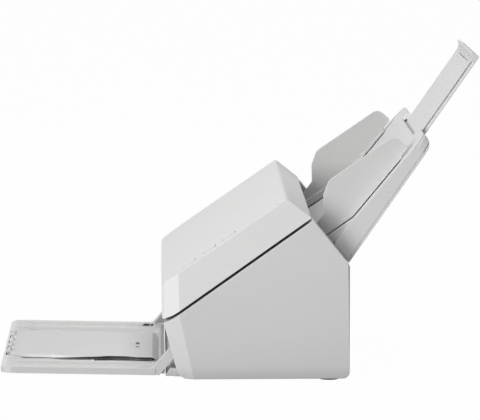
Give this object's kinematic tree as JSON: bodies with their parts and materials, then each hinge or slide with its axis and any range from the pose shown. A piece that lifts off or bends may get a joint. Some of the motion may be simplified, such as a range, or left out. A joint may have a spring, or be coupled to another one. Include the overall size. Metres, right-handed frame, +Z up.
{
  "type": "document scanner",
  "caption": "Desktop sheet-fed document scanner with a hinged cover, a rear paper chute with side guides and extension, and a fold-up front stacker tray.",
  "frame": {"origin": "the desk, under the middle of the whole object with its tray down and its extension pulled out", "axes": "+Z up, -Y towards the user and the stacker tray, +Y towards the chute, +X the user's right"},
  "size_m": [0.298, 0.3512, 0.2319],
  "materials": {
    "shell_light": "fine matt moulded texture",
    "shell_base": "fine matt moulded texture",
    "inner_plastic": "satin moulded",
    "steel": "satin",
    "rubber": "matt",
    "black_plastic": "satin",
    "sensor_glass": "clear",
    "circuit_board": "solder mask",
    "white_acetal": "satin",
    "key_plastic": "satin",
    "light_lens": "clear lens"
  },
  "bodies": {
    "base": {"lower_housing": "shell_base", "bottom_plate": "inner_plastic", "rubber_feet": "rubber", "housing_screws": "steel", "lower_paper_guide": "inner_plastic", "side_frames": "steel", "shaft_bushes": "white_acetal", "lower_sensor": "black_plastic", "lower_glass": "sensor_glass", "main_board": "circuit_board", "power_jack": "black_plastic", "usb_socket": "steel", "drive_motor": "steel", "motor_belt": "rubber", "roller_belt": "rubber", "cover_hinge_pins": "steel", "tray_pins": "steel"},
    "motor_drive": {"motor_pulley": "steel"},
    "exit_drive": {"exit_shaft": "steel", "exit_rollers": "rubber", "exit_pulley": "white_acetal"},
    "feed_drive": {"feed_shaft": "steel", "feed_rollers": "rubber", "feed_pulley": "white_acetal"},
    "pick_drive": {"pick_shaft": "steel", "pick_rollers": "rubber", "pick_pulley": "white_acetal"},
    "cover": {"top_cover": "shell_light", "upper_paper_guide": "inner_plastic", "upper_sensor": "black_plastic", "upper_glass": "sensor_glass", "key_board": "circuit_board", "status_light": "light_lens"},
    "scan_key": {"scan_key": "key_plastic"},
    "stop_key": {"stop_key": "key_plastic"},
    "power_key": {"power_key": "key_plastic"},
    "exit_idler": {"exit_idlers": "white_acetal"},
    "feed_idler": {"feed_idlers": "white_acetal"},
    "separation": {"separation_roller": "rubber"},
    "chute": {"chute_front": "shell_light", "chute_back": "shell_light", "pinion_pin": "steel"},
    "pinion": {"guide_pinion": "white_acetal"},
    "right_side_guide": {"right_guide": "shell_light", "right_rack": "white_acetal"},
    "left_side_guide": {"left_guide": "shell_light", "left_rack": "white_acetal"},
    "extension": {"chute_extension": "shell_light"},
    "tray": {"stacker_tray": "shell_light", "flap_pins": "steel"},
    "flap": {"tray_flap": "shell_light"}
  },
  "joints": [
    {"name": "cover_hinge", "type": "hinge", "parent": "base", "child": "cover", "pos_m": [0, -0.05322, 0.0394], "axis": [1, 0, 0], "range_deg": [0, 60]},
    {"name": "tray_fold", "type": "hinge", "parent": "base", "child": "tray", "pos_m": [0, -0.04522, 0.0243], "axis": [1, 0, 0], "range_deg": [-90, 0]},
    {"name": "flap_fold", "type": "hinge", "parent": "tray", "child": "flap", "pos_m": [0, -0.17172, 0.00798], "axis": [1, 0, 0], "range_deg": [0, 178]},
    {"name": "chute_lift", "type": "slide", "parent": "base", "child": "chute", "axis": [0, 0.5721, 0.8202], "range_m": [0, 0.06]},
    {"name": "extension_slide", "type": "slide", "parent": "chute", "child": "extension", "axis": [0, 0.5721, 0.8202], "range_m": [-0.066, 0]},
    {"name": "right_guide_slide", "type": "slide", "parent": "chute", "child": "right_side_guide", "axis": [-1, 0, 0], "range_m": [0, 0.087]},
    {"name": "left_guide_slide", "type": "slide", "parent": "chute", "child": "left_side_guide", "axis": [1, 0, 0], "range_m": [0, 0.087]},
    {"name": "guide_pinion_spin", "type": "hinge", "parent": "chute", "child": "pinion", "pos_m": [0, 0.09197, 0.12111], "axis": [0, -0.7705, 0.6374], "range_deg": [0, 625]},
    {"name": "scan_key_press", "type": "slide", "parent": "cover", "child": "scan_key", "axis": [0, 0.5685, -0.8227], "range_m": [0, 0.0006], "stiffness_N_per_m": 800, "springref_m": -0.0004},
    {"name": "stop_key_press", "type": "slide", "parent": "cover", "child": "stop_key", "axis": [0, 0.5685, -0.8227], "range_m": [0, 0.0006], "stiffness_N_per_m": 800, "springref_m": -0.0004},
    {"name": "power_key_press", "type": "slide", "parent": "cover", "child": "power_key", "axis": [0, 0.5685, -0.8227], "range_m": [0, 0.0006], "stiffness_N_per_m": 800, "springref_m": -0.0004},
    {"name": "feed_spin", "type": "hinge", "parent": "base", "child": "feed_drive", "pos_m": [0, 0.01526, 0.05976], "axis": [1, 0, 0], "continuous": true},
    {"name": "exit_spin", "type": "hinge", "parent": "base", "child": "exit_drive", "pos_m": [0, -0.03157, 0.02734], "axis": [1, 0, 0], "continuous": true},
    {"name": "pick_spin", "type": "hinge", "parent": "base", "child": "pick_drive", "pos_m": [0, 0.04323, 0.07913], "axis": [1, 0, 0], "continuous": true},
    {"name": "motor_spin", "type": "hinge", "parent": "base", "child": "motor_drive", "pos_m": [0, 0.02378, 0.0254], "axis": [1, 0, 0], "continuous": true},
    {"name": "exit_idler_spin", "type": "hinge", "parent": "cover", "child": "exit_idler", "pos_m": [0, -0.03971, 0.0391], "axis": [1, 0, 0], "continuous": true},
    {"name": "feed_idler_spin", "type": "hinge", "parent": "cover", "child": "feed_idler", "pos_m": [0, 0.00712, 0.07152], "axis": [1, 0, 0], "continuous": true},
    {"name": "separation_spin", "type": "hinge", "parent": "cover", "child": "separation", "pos_m": [0, 0.03395, 0.09253], "axis": [1, 0, 0], "continuous": true}
  ],
  "couplings": [
    {"joint": "left_guide_slide", "follows": "right_guide_slide", "ratio": 1},
    {"joint": "guide_pinion_spin", "follows": "right_guide_slide", "rad_per_m": 125},
    {"joint": "exit_spin", "follows": "feed_spin", "ratio": 1},
    {"joint": "pick_spin", "follows": "feed_spin", "ratio": 1},
    {"joint": "motor_spin", "follows": "feed_spin", "ratio": 1.2941},
    {"joint": "exit_idler_spin", "follows": "feed_spin", "ratio": -1.8},
    {"joint": "feed_idler_spin", "follows": "feed_spin", "ratio": -1.8},
    {"joint": "separation_spin", "follows": "feed_spin", "ratio": -1.2857}
  ]
}
